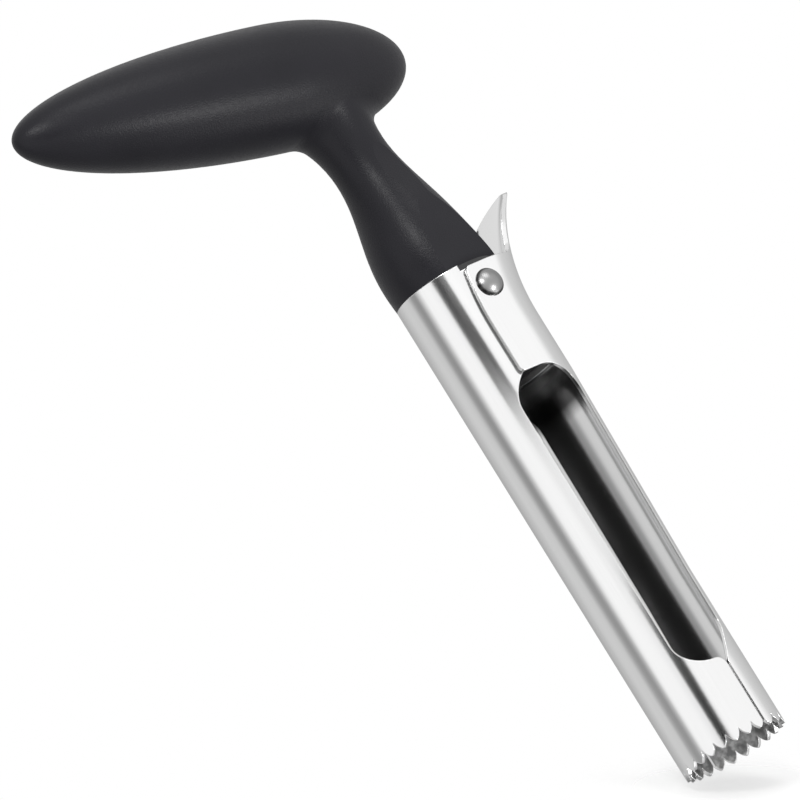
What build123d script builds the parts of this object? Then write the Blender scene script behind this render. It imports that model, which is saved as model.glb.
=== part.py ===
from build123d import *
import math
import os

# Apple corer with a T handle. Millimetres, +Z up, origin on the tube's axis at the tooth tips.
# The lever half of the tube is on +X, and the long arm of the handle points to -X.

# Steel tube
tube_radius = 12.0          # outside radius of both blade halves
sheet = 0.9                 # thickness of the steel sheet
tube_length = 117.0         # from the tooth tips to the handle's shoulder
collar_length = 25.0        # closed ring at the top of the fixed half

# Serrated mouth
teeth = 24                  # teeth round the whole mouth
lever_teeth = 11            # of these, the teeth on the lever half
tooth_depth = 2.2
tooth_tip = 0.1             # flat left at each tooth's tip, inside the tube
tooth_bulge = 0.61          # how full the tooth flanks are, 0.5 being straight
slit_gap = 0.6              # gap between the two halves at the mouth

# Windows between the two halves, as seen from the side
tongue_height = 17.6        # height of the ring of teeth on the fixed half
tongue_corner = 2.3
fixed_edge = 7.4            # fixed half's window edge, behind the axis
fixed_scoop = 6.5           # radius at the window's lower corner
fixed_crown = 9.0           # radius at the window's upper corner
lever_edge = 6.6            # lever half's window edge, in front of the axis
lever_edge_lean = 1.4       # how much further forward that edge is at the window's top
lever_ring_height = 16.0    # where the lever half's edge meets the slit
lever_sweep = 8.0           # rise of the lever half's edge above that ring
lever_sweep_radius = 8.0
lever_ring_corner = 3.0
lever_crown = 8.0           # radius where the window runs into the cheek

# Lever channel with its cheeks, and the thumb ear
channel_clearance = 0.3     # channel to tube
cheek_drop = 1.4            # cheek's top edge below the shoulder
cheek_length = 25.6
cheek_reach = 5.0           # cheek's back edge behind the axis
cheek_corner = 1.3
joggle_drop = 2.0           # joggle's top below the cheek's lower edge
joggle_length = 50.0
bend_drop = 14.0            # start of the outward bend, below the cheek's top edge
bend_radius = 40.0          # from the channel's front to the bend's axis
ear_rise = 14.4             # ear's tip above the cheek's top edge
ear_half_width = 8.5
ear_arch = 11.0             # height of the ear's elliptical end
ear_root_radius = 3.0

# Two-part pivot rivet
pivot_drop = 6.5            # pivot axis below the shoulder
shank_radius = 2.0
rivet_core_radius = 1.3
rivet_clearance = 0.05      # shank to its holes, and head to cheek
rivet_head_radius = 3.2
rivet_head_rim = 0.15       # straight rim below the dome
rivet_head_height = 1.6

# Plug and armature inside the handle
plug_clearance = 0.1
plug_recess = 1.5           # plug's end above the collar's lower edge
plug_chamfer = 0.8
armature_radius = 4.5
armature_bar_radius = 6.0
armature_bar_long = 34.0    # armature's reach towards the long arm
armature_bar_short = 20.0   # and towards the short end
grip_gap = 0.05             # armature to grip

# Grip: an egg-shaped cross bar on a neck that is drawn in to a waist
bar_radius = 13.75
bar_long = 65.0             # from the thickest section to the long tip
bar_short = 33.8            # and to the short end
bar_offset = 12.5           # thickest section, behind the tube's axis
bar_height = 53.9           # bar's axis there, above the shoulder
bar_tilt = 9.5              # rise of the long arm, in degrees
neck_shoulder_share = 0.13  # heights as shares of the bar's height, and offsets behind the tube's axis
neck_shoulder_radius = 11.6
neck_shoulder_offset = 0.8
neck_flare_share = 0.278
neck_flare_radius = 10.15
neck_flare_offset = 1.15
neck_throat_share = 0.39
neck_throat_radius = 8.65
neck_throat_offset = 1.3
neck_waist_share = 0.557
neck_waist_radius = 7.05
neck_waist_offset = 2.1
neck_root_share = 0.686
neck_root_radius = 7.5
neck_root_offset = 3.0
neck_top_radius = 10.6
neck_top_offset = 6.5
neck_sink = 1.38            # sides of the neck's top ring, inside the bar's surface
neck_fillet = 5.0           # neck into cross bar
flat_depth = 2.7            # side flats on the neck, at the shoulder
flat_run_out = 0.4          # their depth where they follow the neck up to its waist
flat_turn = 10.0            # how far the flats face forward of the two sides, in degrees

# Levels and radii that follow from the sizes above
bore_radius = tube_radius - sheet
channel_inner = tube_radius + channel_clearance
channel_outer = channel_inner + sheet
pivot_z = tube_length - pivot_drop
collar_bottom = tube_length - collar_length
cheek_top = tube_length - cheek_drop
cheek_bottom = cheek_top - cheek_length
joggle_top = cheek_bottom - joggle_drop
bend_z = cheek_top - bend_drop
bend_axis_x = channel_inner + bend_radius
half_pitch_angle = math.pi / teeth
slit_x = tube_radius * math.cos(lever_teeth * half_pitch_angle)
plug_radius = bore_radius - plug_clearance
plug_bottom = collar_bottom + plug_recess
hole_radius = shank_radius + rivet_clearance
head_seat = channel_outer + rivet_clearance
beyond = 2 * (tube_length + bar_long)   # reach of cutting tools that run past the part


def side_prism(points, radii):
    """Solid with a side outline in XZ, its inner corners rounded, running across the whole part in Y."""
    outline = FilletPolyline(*points, radius=radii)
    closing = Line(outline @ 1, outline @ 0)
    face = Plane.XZ * make_face(outline.edges() + closing.edges())
    return extrude(face, amount=beyond, both=True)


def cross_hole(radius):
    """Cutting tool for the pivot hole, along Y."""
    turned = Rotation(90, 0, 0) * Cylinder(radius, beyond)
    return Pos(0, 0, pivot_z) * turned


def tooth_notches():
    """Cutting tools for the gaps between the teeth, one for each tooth."""
    half_width = bore_radius * math.tan(half_pitch_angle) - tooth_tip / 2
    bulge_x = half_width * (1 - tooth_bulge)
    bulge_z = tooth_depth * (1 - tooth_bulge)
    left = ThreePointArc((-half_width, 0), (-bulge_x, bulge_z), (0, tooth_depth))
    right = ThreePointArc((0, tooth_depth), (bulge_x, bulge_z), (half_width, 0))
    lower_right = (half_width, -tooth_depth)
    lower_left = (-half_width, -tooth_depth)
    skirt = Polyline((half_width, 0), lower_right, lower_left, (-half_width, 0))
    outline = make_face(left.edges() + right.edges() + skirt.edges())
    tools = []
    for index in range(teeth):
        angle = (2 * index + 1) * half_pitch_angle
        outward = (math.cos(angle), math.sin(angle), 0)
        along = (-math.sin(angle), math.cos(angle), 0)
        wall = Plane(origin=(0, 0, 0), x_dir=along, z_dir=outward).offset(bore_radius - sheet)
        tools.append(extrude(wall * outline, amount=3 * sheet))
    return tools


def fixed_blade():
    """Fixed half: collar with a step down behind the cheeks, gutter along the window, and ring of teeth."""
    edge = slit_x - slit_gap / 2
    tube = Cylinder(tube_radius, tube_length, align=(Align.CENTER, Align.CENTER, Align.MIN))
    tube -= Cylinder(bore_radius, tube_length, align=(Align.CENTER, Align.CENTER, Align.MIN))
    window = side_prism(
        [
            (beyond, collar_bottom),
            (-fixed_edge, collar_bottom),
            (-fixed_edge, tongue_height),
            (edge, tongue_height),
            (edge, -beyond),
            (beyond, -beyond),
        ],
        [fixed_crown, fixed_scoop, tongue_corner, 0],
    )
    step = Box(beyond, beyond, beyond, align=(Align.MIN, Align.CENTER, Align.MIN))
    step = Pos(cheek_corner - cheek_reach, 0, cheek_top) * step
    return tube - window - step - tooth_notches() - cross_hole(hole_radius)


def channel_section(inner, outer):
    """U section of the lever channel in plan: round in front, with flat cheeks reaching back."""
    front = Pos(outer, 0) * Rectangle(2 * outer, 4 * outer)
    legs = Pos(-cheek_reach / 2, 0)
    filled = (Circle(outer) & front) + legs * Rectangle(cheek_reach, 2 * outer)
    hollow = (Circle(inner) & front) + legs * Rectangle(cheek_reach, 2 * inner)
    return filled - hollow


def lever_shell():
    """Lower half tube of the lever, with the joggle that lifts it outside the collar."""
    joggle_bottom = joggle_top - joggle_length
    profile = Polyline(
        (bore_radius, 0),
        (tube_radius, 0),
        (tube_radius, joggle_bottom),
        (channel_outer, joggle_top),
        (channel_inner, joggle_top),
        (bore_radius, joggle_bottom),
        close=True,
    )
    section = Plane.XZ * make_face(profile)
    return Rotation(0, 0, -90) * revolve(section, Axis.Z, revolution_arc=180)


def ear_trim():
    """Cutting tool that ends the cheeks at their top edge and leaves the round-ended ear between them."""
    arch_middle = Pos(0, cheek_top + ear_rise - ear_arch)
    arch = arch_middle * Ellipse(ear_half_width, ear_arch)
    arch += arch_middle * Rectangle(2 * ear_half_width, ear_rise, align=(Align.CENTER, Align.MAX))
    above = Pos(0, cheek_top) * Rectangle(beyond, beyond, align=(Align.CENTER, Align.MIN))
    outline = above - arch
    roots = outline.vertices().sort_by(Axis.Y)[:4].sort_by(lambda v: abs(v.X))[:2]
    outline = fillet(roots, ear_root_radius)
    return extrude(Plane.YZ * outline, amount=beyond, both=True)


def lever_blade():
    """Pivoting half: half tube with teeth, channel with two cheeks, and the bent thumb ear."""
    edge = slit_x + slit_gap / 2
    section = channel_section(channel_inner, channel_outer)
    channel = extrude(Pos(0, 0, joggle_top) * section, amount=bend_z - joggle_top)
    bend_axis = Axis((bend_axis_x, 0, bend_z), (0, 1, 0))
    bent = revolve(Pos(0, 0, bend_z) * section, bend_axis, revolution_arc=90)
    window = side_prism(
        [
            (-beyond, cheek_bottom),
            (lever_edge + lever_edge_lean, cheek_bottom),
            (lever_edge, lever_ring_height + lever_sweep),
            (edge, lever_ring_height),
            (edge, -beyond),
            (-beyond, -beyond),
        ],
        [lever_crown, lever_sweep_radius, lever_ring_corner, 0],
    )
    blade = lever_shell() + channel + bent
    blade = blade - window - ear_trim() - tooth_notches() - cross_hole(hole_radius)
    back_edges = blade.edges().filter_by(Axis.Y).filter_by(lambda e: e.center().X < -shank_radius)
    corners = back_edges.sort_by(lambda e: abs(e.center().Z - bend_z))[-4:]
    return fillet(corners, cheek_corner)


def rivet_head():
    """Low domed head with a short straight rim, rising along +Y from the seat on the cheek."""
    rim = head_seat + rivet_head_rim
    crown = head_seat + rivet_head_height
    dome_height = rivet_head_height - rivet_head_rim
    dome_radius = (rivet_head_radius ** 2 + dome_height ** 2) / (2 * dome_height)
    middle_angle = math.asin(rivet_head_radius / dome_radius) / 2
    middle = (dome_radius * math.sin(middle_angle), crown - dome_radius * (1 - math.cos(middle_angle)))
    straight = Polyline((0, crown), (0, head_seat), (rivet_head_radius, head_seat), (rivet_head_radius, rim))
    dome = ThreePointArc((rivet_head_radius, rim), middle, (0, crown))
    return revolve(make_face(straight.edges() + dome.edges()), Axis.Y)


def rivet_stem(radius, start, end):
    """Round stem along Y."""
    stem = Rotation(-90, 0, 0) * Cylinder(radius, end - start, align=(Align.CENTER, Align.CENTER, Align.MIN))
    return Pos(0, start, 0) * stem


def rivet_post():
    """Tubular half of the rivet: domed head on +Y and a hollow shank right through the pivot."""
    shank = rivet_stem(shank_radius, -head_seat, head_seat)
    bore = rivet_stem(rivet_core_radius, -head_seat, head_seat - shank_radius)
    return Pos(0, 0, pivot_z) * (rivet_head() + shank - bore)


def rivet_pin():
    """Solid half of the rivet: domed head on -Y and a pin pressed into the tubular half."""
    pin = rivet_stem(rivet_core_radius, -head_seat, head_seat - 2 * shank_radius)
    return Pos(0, 0, pivot_z) * (Rotation(0, 0, 180) * rivet_head() + pin)


def bar_frame():
    """Place of the cross bar: local X along its axis, towards the short end."""
    return Pos(-bar_offset, 0, tube_length + bar_height) * Rotation(0, bar_tilt, 0)


def bar_axis_height(offset):
    """Height of the cross bar's axis above the shoulder, at an offset behind the tube's axis."""
    return bar_height - (bar_offset - offset) * math.tan(math.radians(bar_tilt))


def armature(growth):
    """Stem and cross bar of the rigid core, grown all round by the given amount."""
    bar_span = armature_bar_long + armature_bar_short
    reach = Pos((armature_bar_short - armature_bar_long) / 2, 0, 0) * Rotation(0, 90, 0)
    bar = reach * Cylinder(armature_bar_radius + growth, bar_span + 2 * growth)
    stem_length = bar_axis_height(neck_waist_offset)
    stem = Cylinder(armature_radius + growth, stem_length, align=(Align.CENTER, Align.CENTER, Align.MIN))
    return bar_frame() * bar + Pos(-neck_waist_offset, 0, tube_length) * stem


def handle_core():
    """Rigid core: plug inside the collar, with the armature that carries the grip."""
    plug_length = tube_length - plug_bottom
    plug = Cylinder(plug_radius, plug_length, align=(Align.CENTER, Align.CENTER, Align.MIN))
    plug = chamfer(plug.edges().sort_by(Axis.Z)[0], plug_chamfer)
    return Pos(0, 0, plug_bottom) * plug + armature(0) - cross_hole(hole_radius)


def neck():
    """Neck lofted through circles: flush with the tube, drawn in to a waist, then out into the bar."""
    rings = [
        (0, 0, tube_radius),
        (neck_shoulder_share, neck_shoulder_offset, neck_shoulder_radius),
        (neck_flare_share, neck_flare_offset, neck_flare_radius),
        (neck_throat_share, neck_throat_offset, neck_throat_radius),
        (neck_waist_share, neck_waist_offset, neck_waist_radius),
        (neck_root_share, neck_root_offset, neck_root_radius),
    ]
    sections = []
    for share, offset, radius in rings:
        sections.append(Pos(-offset, 0, tube_length + share * bar_height) * Circle(radius))
    drop = math.sqrt(max(0, (bar_radius - neck_sink) ** 2 - neck_top_radius ** 2))
    top_z = tube_length + bar_axis_height(neck_top_offset) - drop
    sections.append(Pos(-neck_top_offset, 0, top_z) * Circle(neck_top_radius))
    return loft(sections)


def cross_bar():
    """Egg-shaped bar: two half ellipsoids that share their thickest section."""
    short = EllipticalCenterArc((0, 0), bar_short, bar_radius, start_angle=0, arc_size=90)
    long = EllipticalCenterArc((0, 0), bar_long, bar_radius, start_angle=90, arc_size=90)
    half = make_face(short.edges() + long.edges() + Line((-bar_long, 0), (bar_short, 0)).edges())
    return bar_frame() * revolve(half, Axis.X)


def neck_side(share, offset, radius):
    """Distance from the tube's axis and height of a ring's edge, in the direction that a side flat faces."""
    forward = math.sin(math.radians(flat_turn))
    return radius - offset * forward, tube_length + share * bar_height


def side_flat():
    """Cutting tool for the flat on the neck's -Y side: upright at first, then drawn in with the neck."""
    upright = tube_radius - flat_depth
    flare_z = tube_length + neck_flare_share * bar_height
    throat = neck_side(neck_throat_share, neck_throat_offset, neck_throat_radius - flat_run_out)
    waist = neck_side(neck_waist_share, neck_waist_offset, neck_waist_radius - flat_run_out)
    top = neck_side(neck_root_share, neck_root_offset, neck_root_radius + flat_run_out)
    rising = Line((upright, 0), (upright, flare_z))
    away = (top[0] - waist[0], top[1] - waist[1])
    following = Spline((upright, flare_z), throat, waist, top, tangents=[(0, 1), away])
    outside = Polyline(top, (beyond, top[1]), (beyond, 0), (upright, 0))
    outline = make_face(rising.edges() + following.edges() + outside.edges())
    turn = math.radians(flat_turn)
    outward = (math.sin(turn), -math.cos(turn), 0)
    across = (-math.cos(turn), -math.sin(turn), 0)
    return extrude(Plane(origin=(0, 0, 0), x_dir=outward, z_dir=across) * outline, amount=beyond, both=True)


def handle_grip():
    """Soft grip moulded round the armature: neck and cross bar blended into one form."""
    lower = neck()
    upper = cross_bar()
    grip = lower + upper
    grip = fillet(new_edges(lower, upper, combined=grip), neck_fillet)
    flat = side_flat()
    return grip - flat - mirror(flat, about=Plane.XZ) - armature(grip_gap)


nodes = {
    "handle_grip": handle_grip,
    "handle_core": handle_core,
    "fixed_blade": fixed_blade,
    "lever_blade": lever_blade,
    "rivet_post": rivet_post,
    "rivet_pin": rivet_pin,
}
os.makedirs("parts", exist_ok=True)
for name, build in nodes.items():
    export_step(build(), f"parts/{name}.step")
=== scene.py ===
import math
import bpy
from mathutils import Matrix, Vector


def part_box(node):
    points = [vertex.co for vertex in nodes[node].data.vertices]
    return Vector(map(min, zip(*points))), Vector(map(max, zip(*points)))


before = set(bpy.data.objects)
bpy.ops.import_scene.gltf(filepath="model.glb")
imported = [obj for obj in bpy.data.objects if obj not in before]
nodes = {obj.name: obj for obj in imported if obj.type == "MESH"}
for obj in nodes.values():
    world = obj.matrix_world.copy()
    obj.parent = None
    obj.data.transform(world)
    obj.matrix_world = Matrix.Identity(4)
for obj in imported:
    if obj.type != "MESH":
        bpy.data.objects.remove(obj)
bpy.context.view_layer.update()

# Camera directions in the part's frame, the middle of the picture, and the picture's width there
RIGHT = Vector((0.740, -0.432, -0.517)).normalized()
BACK = Vector((-0.591, -0.784, -0.191)).normalized()
UP = BACK.cross(RIGHT).normalized()
RIGHT = UP.cross(BACK).normalized()
TARGET = Vector((-0.0282, -0.0025, 0.0975))
CAMERA_DISTANCE = 4.0
VIEW_WIDTH = 0.16701
SENSOR_WIDTH = 36.0

# Places on the part
BLADE_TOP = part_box("lever_blade")[1][2]
rivet_low, rivet_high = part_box("rivet_pin")
PIVOT_HEIGHT = (rivet_low[2] + rivet_high[2]) / 2
RIVET_RADIUS = (rivet_high[2] - rivet_low[2]) / 2

# Steel: rounding of cut edges, and the heights between which the darker random mottle inside the mouth, a
# painted uneven reflection, fades out
EDGE_ROUND = 0.0003
PAINTED_MOTTLE_FULL = 0.006
PAINTED_MOTTLE_GONE = 0.016

# Faces towards the tube's axis, as (height, tone, roughness); the lever half's dark tones at the window's
# top are painted shade
BLADE_INSIDE = [(0.004, 0.80, 0.36), (0.020, 0.74, 0.26)]
LEVER_INSIDE_AND_PAINTED_SHADE = [
    (0.004, 0.80, 0.36),
    (0.016, 0.80, 0.16),
    (0.0800, 0.80, 0.16),
    (0.0834, 0.09, 0.20),
    (0.0868, 0.12, 0.20),
    (0.0900, 0.40, 0.24),
    (0.1155, 0.40, 0.20),
    (0.117, 0.80, 0.08),
]

# Studio that gloss sees, as (degrees from +X towards -Y, grey)
STUDIO = [
    (0, 0.60), (14, 0.67), (28, 1.0), (114, 1.0), (126, 0.90), (145, 0.90),
    (157, 1.0), (182, 1.0), (190, 0.55), (198, 0.26), (208, 0.32), (220, 0.62),
    (240, 0.65), (280, 0.42), (312, 0.40), (335, 0.50), (360, 0.60),
]
STUDIO_STRENGTH = 1.16

# How the studio dims towards the ground, from straight down at 0 to straight up at 1, and its even ceiling
STUDIO_LEVELS = [(0.0, 0.30), (0.06, 0.38), (0.24, 1.0), (1.0, 1.0)]
CEILING_GREY = 0.75
CEILING_START = 0.45
CEILING_FULL = 0.60

# Strength of the plain white light that falls on matt surfaces
PLAIN_STRENGTH = 0.80

# Soft boxes: metres to the camera's right, up and towards it, from the target; then diameter and watts
SOFT_BOXES = [
    ("side", 0.83, -0.02, 0.55, 0.30, 3.6),
    ("top", 0.10, 0.95, 0.25, 0.50, 1.8),
    ("left", -0.25, 0.62, 0.74, 0.32, 4.0),
    ("low", 0.92, -0.38, 0.11, 0.45, 1.4),
]

# Dark cards beside the tube: degrees from +X towards -Y, lower end, upper end and width
SIDE_FLAGS = [
    ("upper_flag", 136.0, 0.112, 0.180, 0.070),
    ("lower_flag", 130.0, -0.010, 0.062, 0.050),
]
SIDE_FLAG_DISTANCE = 0.15

# Dark card inside the tube, in front of the fixed half and facing the lever half: painted shade, a black
# sheet that the lever half's inside reflects so that the tube looks dark inside through the window
INNER_SHADE_CARD_PLACE = Vector((-0.0068, 0.0))
INNER_SHADE_CARD_FACING = Vector((1.0, 0.0))
INNER_SHADE_CARD_SPAN = (0.019, 0.0912)
INNER_SHADE_CARD_WIDTH = 0.0166

# Ground: its tilt in the picture, gap below the part, and how far from the mouth it shows
GROUND_TILT = math.radians(12.0)
GROUND_GAP = 0.0002
GROUND_RADIUS = 0.3
GROUND_SHOWN = 0.45
GROUND_FADE_START = 0.012
GROUND_FADE_END = 0.036


def facing(location, right, up, back):
    """Placement with local X, Y and Z along the three directions given."""
    turn = Matrix((right, up, back)).transposed().to_4x4()
    return Matrix.Translation(location) @ turn


def grey(tone):
    return (tone, tone, tone)


class NodeTree:
    """Node tree with short helpers; a value given to one is an output to link or a plain value to set."""

    def __init__(self, tree):
        self.tree = tree

    def node(self, kind, **values):
        made = self.tree.nodes.new(kind)
        for key, value in values.items():
            setattr(made, key, value)
        return made

    def feed(self, socket, value):
        if isinstance(value, bpy.types.NodeSocket):
            self.tree.links.new(value, socket)
        else:
            socket.default_value = value

    def maths(self, operation, *values):
        made = self.node("ShaderNodeMath", operation=operation)
        for socket, value in zip(made.inputs, values):
            self.feed(socket, value)
        return made.outputs["Value"]

    def vector(self, operation, *values):
        """Vector calculation, which gives a number for a length or a dot product, and else a vector."""
        made = self.node("ShaderNodeVectorMath", operation=operation)
        for socket, value in zip(made.inputs, values):
            self.feed(socket, value)
        gives_number = operation in ("LENGTH", "DOT_PRODUCT")
        return made.outputs["Value" if gives_number else "Vector"]

    def coordinates(self, kind):
        return self.node("ShaderNodeTexCoord").outputs[kind]

    def split(self, vector):
        parts = self.node("ShaderNodeSeparateXYZ")
        self.feed(parts.inputs["Vector"], vector)
        return parts.outputs

    def ramp(self, source, stops):
        """Colour ramp, with stops as (position, colour)."""
        made = self.node("ShaderNodeValToRGB")
        elements = made.color_ramp.elements
        while len(elements) < len(stops):
            elements.new(0.5)
        for element, (position, colour) in zip(elements, stops):
            element.position = position
            element.color = (*colour, 1.0)
        self.feed(made.inputs["Fac"], source)
        return made.outputs["Color"]

    def spread(self, source, low, high, start=0.3, end=0.7):
        """Value from low, where the source is at start or below it, to high, at end or above it."""
        span = self.node("ShaderNodeMapRange")
        self.feed(span.inputs["Value"], source)
        self.feed(span.inputs["From Min"], start)
        self.feed(span.inputs["From Max"], end)
        self.feed(span.inputs["To Min"], low)
        self.feed(span.inputs["To Max"], high)
        return span.outputs["Result"]

    def blend(self, share, first, second, mode="MIX"):
        """Mix of two colours."""
        mix = self.node("ShaderNodeMix", data_type="RGBA", blend_type=mode)
        factor, colour_a, colour_b = (mix.inputs[index] for index in (0, 6, 7))
        self.feed(factor, share)
        self.feed(colour_a, first)
        self.feed(colour_b, second)
        return mix.outputs[2]

    def either(self, share, first, second):
        """Mix of two numbers."""
        mix = self.node("ShaderNodeMix", data_type="FLOAT")
        factor, number_a, number_b = (mix.inputs[index] for index in (0, 2, 3))
        self.feed(factor, share)
        self.feed(number_a, first)
        self.feed(number_b, second)
        return mix.outputs[0]

    def mix_shaders(self, share, first, second):
        mix = self.node("ShaderNodeMixShader")
        self.feed(mix.inputs["Fac"], share)
        self.feed(mix.inputs[1], first)
        self.feed(mix.inputs[2], second)
        return mix.outputs["Shader"]


class Shader(NodeTree):
    """Node tree of one material."""

    def __init__(self, name):
        self.material = bpy.data.materials.new(name)
        self.material.use_nodes = True
        super().__init__(self.material.node_tree)
        self.body = self.tree.nodes["Principled BSDF"]
        self.surface = self.tree.nodes["Material Output"].inputs["Surface"]

    def set(self, socket_name, value):
        self.feed(self.body.inputs[socket_name], value)

    def noise(self, scale, detail=2.0, stretch=(1.0, 1.0, 1.0)):
        """Noise in the piece's own coordinates, scale in cells per metre."""
        mapping = self.node("ShaderNodeMapping")
        mapping.inputs["Scale"].default_value = [scale * share for share in stretch]
        self.feed(mapping.inputs["Vector"], self.coordinates("Object"))
        texture = self.node("ShaderNodeTexNoise")
        texture.inputs["Scale"].default_value = 1.0
        texture.inputs["Detail"].default_value = detail
        self.feed(texture.inputs["Vector"], mapping.outputs["Vector"])
        return texture.outputs["Fac"]

    def facing_axis(self):
        """1 on faces that look towards the tube's axis, 0 on the others."""
        flat = self.vector("MULTIPLY", self.coordinates("Object"), (1.0, 1.0, 0.0))
        outward = self.vector("NORMALIZE", flat)
        agreement = self.vector("DOT_PRODUCT", outward, self.coordinates("Normal"))
        return self.spread(agreement, low=1.0, high=0.0, start=-0.35, end=-0.25)

    def rounded_edge(self, radius):
        """Normal that is rounded at sharp edges, as on a sheet whose burr is taken off."""
        bevel = self.node("ShaderNodeBevel", samples=6)
        bevel.inputs["Radius"].default_value = radius
        return bevel.outputs["Normal"]

    def bump(self, height, strength, distance, below=None):
        made = self.node("ShaderNodeBump")
        made.inputs["Strength"].default_value = strength
        made.inputs["Distance"].default_value = distance
        self.feed(made.inputs["Height"], height)
        if below:
            self.feed(made.inputs["Normal"], below)
        return made.outputs["Normal"]

    def matt(self, tone, specular):
        """Plain dull finish of one grey."""
        self.set("Base Color", (*grey(tone), 1.0))
        self.set("Roughness", 0.9)
        self.set("Specular IOR Level", specular)


def grip_material():
    """Charcoal soft-touch moulding with a fine grain and faintly uneven sheen."""
    dark = (0.0150, 0.0147, 0.0175)
    light = (0.0175, 0.0172, 0.0205)
    shader = Shader("grip_soft_touch")
    cloud = shader.noise(scale=60.0, detail=3.0)
    sheen = shader.noise(scale=900.0, detail=3.0)
    grain = shader.bump(shader.noise(scale=2800.0), strength=0.50, distance=0.00010)
    shader.set("Base Color", shader.ramp(cloud, [(0.3, dark), (0.7, light)]))
    shader.set("Roughness", shader.spread(sheen, low=0.29, high=0.37))
    shader.set("Normal", shader.bump(cloud, strength=0.05, distance=0.0006, below=grain))
    shader.set("Specular IOR Level", 0.11)
    return shader.material


def core_material():
    """Black moulded nylon of the plug and the armature."""
    dark = (0.012, 0.012, 0.013)
    light = (0.02, 0.02, 0.021)
    shader = Shader("core_nylon")
    cloud = shader.noise(scale=220.0)
    sheen = shader.noise(scale=1500.0)
    grain = shader.noise(scale=2600.0)
    shader.set("Base Color", shader.ramp(cloud, [(0.3, dark), (0.7, light)]))
    shader.set("Roughness", shader.spread(sheen, low=0.38, high=0.55))
    shader.set("Normal", shader.bump(grain, strength=0.2, distance=0.00008))
    return shader.material


def steel_material(name, tint, smooth, rough, inside_and_painted_shade):
    """Stainless sheet, brushed along the tube, with its own tone and roughness on the faces towards the
    axis, where the lever half's tones hold painted shade at the window's top.
    """
    shader = Shader(name)
    fine = shader.noise(scale=5200.0, stretch=(1.0, 1.0, 0.008))
    broad = shader.noise(scale=420.0, stretch=(1.0, 1.0, 0.03))
    spots = shader.noise(scale=700.0, detail=3.0)
    inner = shader.facing_axis()
    height = shader.split(shader.coordinates("Object"))["Z"]
    share = shader.spread(height, low=0.0, high=1.0, start=0.0, end=BLADE_TOP)

    outside_tone = shader.ramp(fine, [(0.3, grey(0.97 * tint)), (0.7, grey(tint))])
    # Tones towards the axis; on the lever half they are painted shade at the window's top
    inside_tone_and_painted_shade = shader.ramp(share, [(z / BLADE_TOP, grey(tone)) for z, tone, dull in inside_and_painted_shade])
    # Darker random mottle inside the mouth: painted uneven reflection
    painted_mottle = shader.ramp(spots, [(0.36, grey(0.35)), (0.64, grey(0.90))])
    mouth = shader.spread(height, low=1.0, high=0.0, start=PAINTED_MOTTLE_FULL, end=PAINTED_MOTTLE_GONE)
    inside_with_painted_mottle_and_shade = shader.blend(mouth, inside_tone_and_painted_shade, painted_mottle, mode="MULTIPLY")
    shader.set("Base Color", shader.blend(inner, outside_tone, inside_with_painted_mottle_and_shade))

    polish = shader.spread(broad, low=smooth, high=rough)
    inside_dull = shader.ramp(share, [(z / BLADE_TOP, grey(dull)) for z, tone, dull in inside_and_painted_shade])
    shader.set("Roughness", shader.either(inner, polish, inside_dull))
    edges = shader.rounded_edge(EDGE_ROUND)
    shader.set("Normal", shader.bump(fine, strength=0.05, distance=0.00002, below=edges))
    shader.set("Metallic", 1.0)
    return shader.material


def rivet_material():
    """Polished rivet head, turned: fine rings about the pivot's axis, and a darker rim that is painted
    shade around the head's edge.
    """
    rim_start = 0.80 * RIVET_RADIUS
    rim_full = 0.92 * RIVET_RADIUS
    shader = Shader("rivet_polished")
    centred = shader.node("ShaderNodeMapping")
    centred.inputs["Location"].default_value = (0.0, 0.0, -PIVOT_HEIGHT)
    shader.feed(centred.inputs["Vector"], shader.coordinates("Object"))
    waves = shader.node("ShaderNodeTexWave", wave_type="RINGS", rings_direction="Y")
    waves.inputs["Scale"].default_value = 900.0
    waves.inputs["Distortion"].default_value = 1.5
    shader.feed(waves.inputs["Vector"], centred.outputs["Vector"])
    rings = waves.outputs["Fac"]
    across = shader.vector("MULTIPLY", centred.outputs["Vector"], (1.0, 0.0, 1.0))
    distance = shader.vector("LENGTH", across)
    rim = shader.spread(distance, low=0.0, high=1.0, start=rim_start, end=rim_full)
    sheen = shader.noise(scale=900.0)
    speckle = shader.noise(scale=2400.0)

    turned_tone = shader.ramp(rings, [(0.2, grey(0.24)), (0.8, grey(0.30))])
    # The rim is painted near black, as painted shade around the head's edge
    rim_painted_shade = shader.ramp(speckle, [(0.3, grey(0.03)), (0.7, grey(0.06))])
    shader.set("Base Color", shader.blend(rim, turned_tone, rim_painted_shade))
    turned_dull = shader.spread(sheen, low=0.28, high=0.34)
    rim_dull = shader.spread(speckle, low=0.22, high=0.32)
    shader.set("Roughness", shader.either(rim, turned_dull, rim_dull))
    shader.set("Normal", shader.bump(rings, strength=0.06, distance=0.00002))
    shader.set("Metallic", 1.0)
    return shader.material


def dress(node_name, material):
    """Give a node of the part its material."""
    piece = nodes[node_name]
    piece.data.materials.clear()
    piece.data.materials.append(material)


def add_camera():
    """Long lens that looks at the target from the photograph's side."""
    data = bpy.data.cameras.new("camera")
    data.sensor_width = SENSOR_WIDTH
    data.lens = SENSOR_WIDTH * CAMERA_DISTANCE / VIEW_WIDTH
    data.clip_start = 0.1
    data.clip_end = 20.0
    camera = bpy.data.objects.new("camera", data)
    camera.matrix_world = facing(TARGET + BACK * CAMERA_DISTANCE, RIGHT, UP, BACK)
    bpy.context.scene.collection.objects.link(camera)
    bpy.context.scene.camera = camera


def backdrop(world, colour, strength):
    made = world.node("ShaderNodeBackground")
    world.feed(made.inputs["Color"], colour)
    world.feed(made.inputs["Strength"], strength)
    return made.outputs["Background"]


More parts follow.
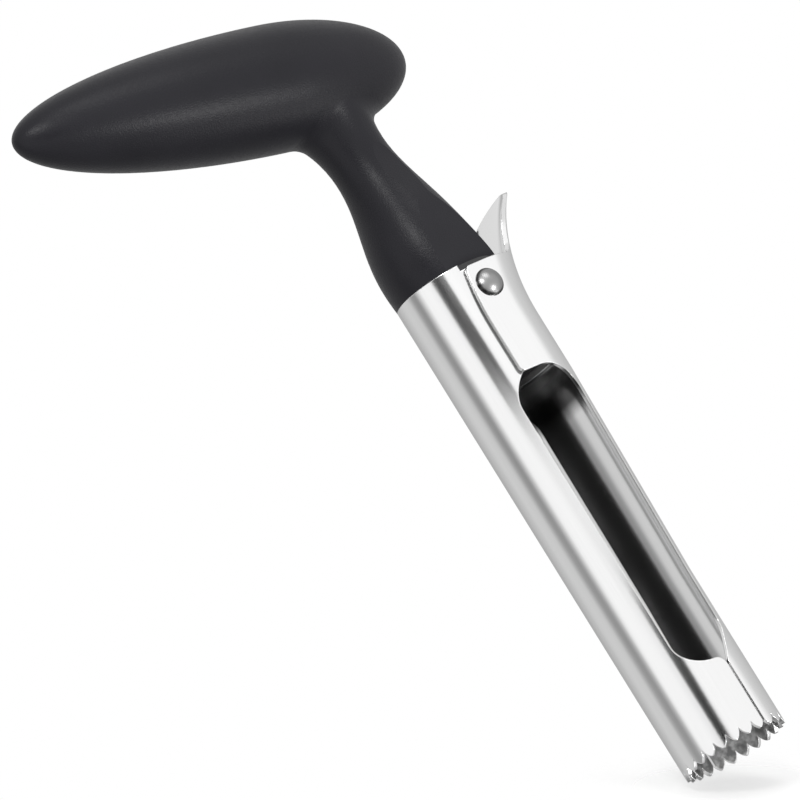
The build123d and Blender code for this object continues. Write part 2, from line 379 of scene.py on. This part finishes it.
def add_world():
    """White for the camera, a studio with bright and dim sides for gloss, and plain light for the rest."""
    data = bpy.data.worlds.new("studio")
    bpy.context.scene.world = data
    data.use_nodes = True
    data.node_tree.nodes.clear()
    world = NodeTree(data.node_tree)
    white = (1.0, 1.0, 1.0, 1.0)

    direction = world.split(world.coordinates("Generated"))
    angle = world.maths("ARCTAN2", world.maths("MULTIPLY", direction["Y"], -1.0), direction["X"])
    turns = world.maths("FRACT", world.maths("MULTIPLY", angle, 1.0 / (2.0 * math.pi)))
    sides = world.ramp(turns, [(degrees / 360.0, grey(tone)) for degrees, tone in STUDIO])
    height = world.spread(direction["Z"], low=0.0, high=1.0, start=-1.0, end=1.0)
    levels = world.ramp(height, [(level, grey(tone)) for level, tone in STUDIO_LEVELS])
    walls = world.blend(1.0, sides, levels, mode="MULTIPLY")
    above = world.spread(direction["Z"], low=0.0, high=1.0, start=CEILING_START, end=CEILING_FULL)
    room = world.blend(above, walls, (*grey(CEILING_GREY), 1.0))

    rays = world.node("ShaderNodeLightPath").outputs
    plain = backdrop(world, white, PLAIN_STRENGTH)
    studio = backdrop(world, room, STUDIO_STRENGTH)
    lit = world.mix_shaders(rays["Is Glossy Ray"], plain, studio)
    shown = world.mix_shaders(rays["Is Camera Ray"], lit, backdrop(world, white, 1.0))
    world.feed(world.node("ShaderNodeOutputWorld").inputs["Surface"], shown)


def add_soft_box(name, across, above, towards, size, power):
    """Round area lamp placed by the camera's directions, in metres, aimed at the target."""
    data = bpy.data.lights.new(name, "AREA")
    data.shape = "DISK"
    data.size = size
    data.energy = power
    lamp = bpy.data.objects.new(name, data)
    place = TARGET + RIGHT * across + UP * above + BACK * towards
    away = (place - TARGET).normalized()
    side = UP.cross(away).normalized()
    lamp.matrix_world = facing(place, side, away.cross(side), away)
    bpy.context.scene.collection.objects.link(lamp)


def beside(degrees, distance):
    """Place beside the tube, at an angle from +X towards -Y."""
    polar = math.radians(degrees)
    return Vector((math.cos(polar), -math.sin(polar))) * distance


def add_flag(name, place, towards, low, high, width):
    """Upright dark card that only reflections see, and only from the side that it faces."""
    forward = Vector((*towards, 0.0)).normalized()
    upright = Vector((0.0, 0.0, 1.0))
    bpy.ops.mesh.primitive_plane_add(size=1.0)
    flag = bpy.context.object
    flag.name = name
    shape = Matrix.Diagonal((width, high - low, 1.0, 1.0))
    centre = Vector((*place, (low + high) / 2))
    flag.matrix_world = facing(centre, upright.cross(forward), upright, forward) @ shape

    shader = Shader(name + "_black")
    shader.matt(0.01, specular=0.0)
    behind = shader.node("ShaderNodeNewGeometry").outputs["Backfacing"]
    clear = shader.node("ShaderNodeBsdfTransparent").outputs["BSDF"]
    shader.feed(shader.surface, shader.mix_shaders(behind, shader.body.outputs["BSDF"], clear))
    flag.data.materials.append(shader.material)
    flag.visible_camera = False
    flag.visible_diffuse = False
    flag.visible_shadow = False


def add_floor():
    """Round patch of pale ground under the mouth, tilted as in the picture and fading outwards."""
    normal = (UP * math.cos(GROUND_TILT) + BACK * math.sin(GROUND_TILT)).normalized()
    heights = [
        (piece.matrix_world @ vertex.co).dot(normal)
        for piece in nodes.values()
        for vertex in piece.data.vertices
    ]
    centre = normal * (min(heights) - GROUND_GAP)
    ahead = normal.cross(RIGHT).normalized()
    bpy.ops.mesh.primitive_circle_add(vertices=96, radius=GROUND_RADIUS, fill_type="NGON")
    floor = bpy.context.object
    floor.name = "floor"
    floor.matrix_world = facing(centre, RIGHT, ahead, normal)

    shader = Shader("floor_pale")
    shader.matt(0.9, specular=0.1)
    distance = shader.vector("LENGTH", shader.coordinates("Object"))
    fade = shader.spread(distance, low=GROUND_SHOWN, high=0.0, start=GROUND_FADE_START, end=GROUND_FADE_END)
    behind = shader.node("ShaderNodeNewGeometry").outputs["Backfacing"]
    shown = shader.maths("MULTIPLY", fade, shader.maths("SUBTRACT", 1.0, behind))
    clear = shader.node("ShaderNodeBsdfTransparent").outputs["BSDF"]
    shader.feed(shader.surface, shader.mix_shaders(shown, clear, shader.body.outputs["BSDF"]))
    floor.data.materials.append(shader.material)
    floor.visible_glossy = False


# The part's finishes
blade_steel = steel_material("blade_brushed", tint=0.80, smooth=0.13, rough=0.20, inside_and_painted_shade=BLADE_INSIDE)
# The lever half's inside carries painted shade at the window's top
lever_steel = steel_material("lever_satin", tint=0.82, smooth=0.12, rough=0.18, inside_and_painted_shade=LEVER_INSIDE_AND_PAINTED_SHADE)
polished = rivet_material()
dress("handle_grip", grip_material())
dress("handle_core", core_material())
dress("fixed_blade", blade_steel)
dress("lever_blade", lever_steel)
dress("rivet_post", polished)
dress("rivet_pin", polished)

# Camera, light and ground
add_camera()
add_world()
for soft_box in SOFT_BOXES:
    add_soft_box(*soft_box)
for flag_name, flag_angle, flag_low, flag_high, flag_width in SIDE_FLAGS:
    flag_place = beside(flag_angle, SIDE_FLAG_DISTANCE)
    add_flag(flag_name, flag_place, -flag_place, flag_low, flag_high, flag_width)
# Black sheet inside the tube: painted shade for the tube's dark inside
add_flag("inner_shade_card", INNER_SHADE_CARD_PLACE, INNER_SHADE_CARD_FACING, *INNER_SHADE_CARD_SPAN, INNER_SHADE_CARD_WIDTH)
add_floor()

bpy.context.scene.view_settings.view_transform = "Standard"
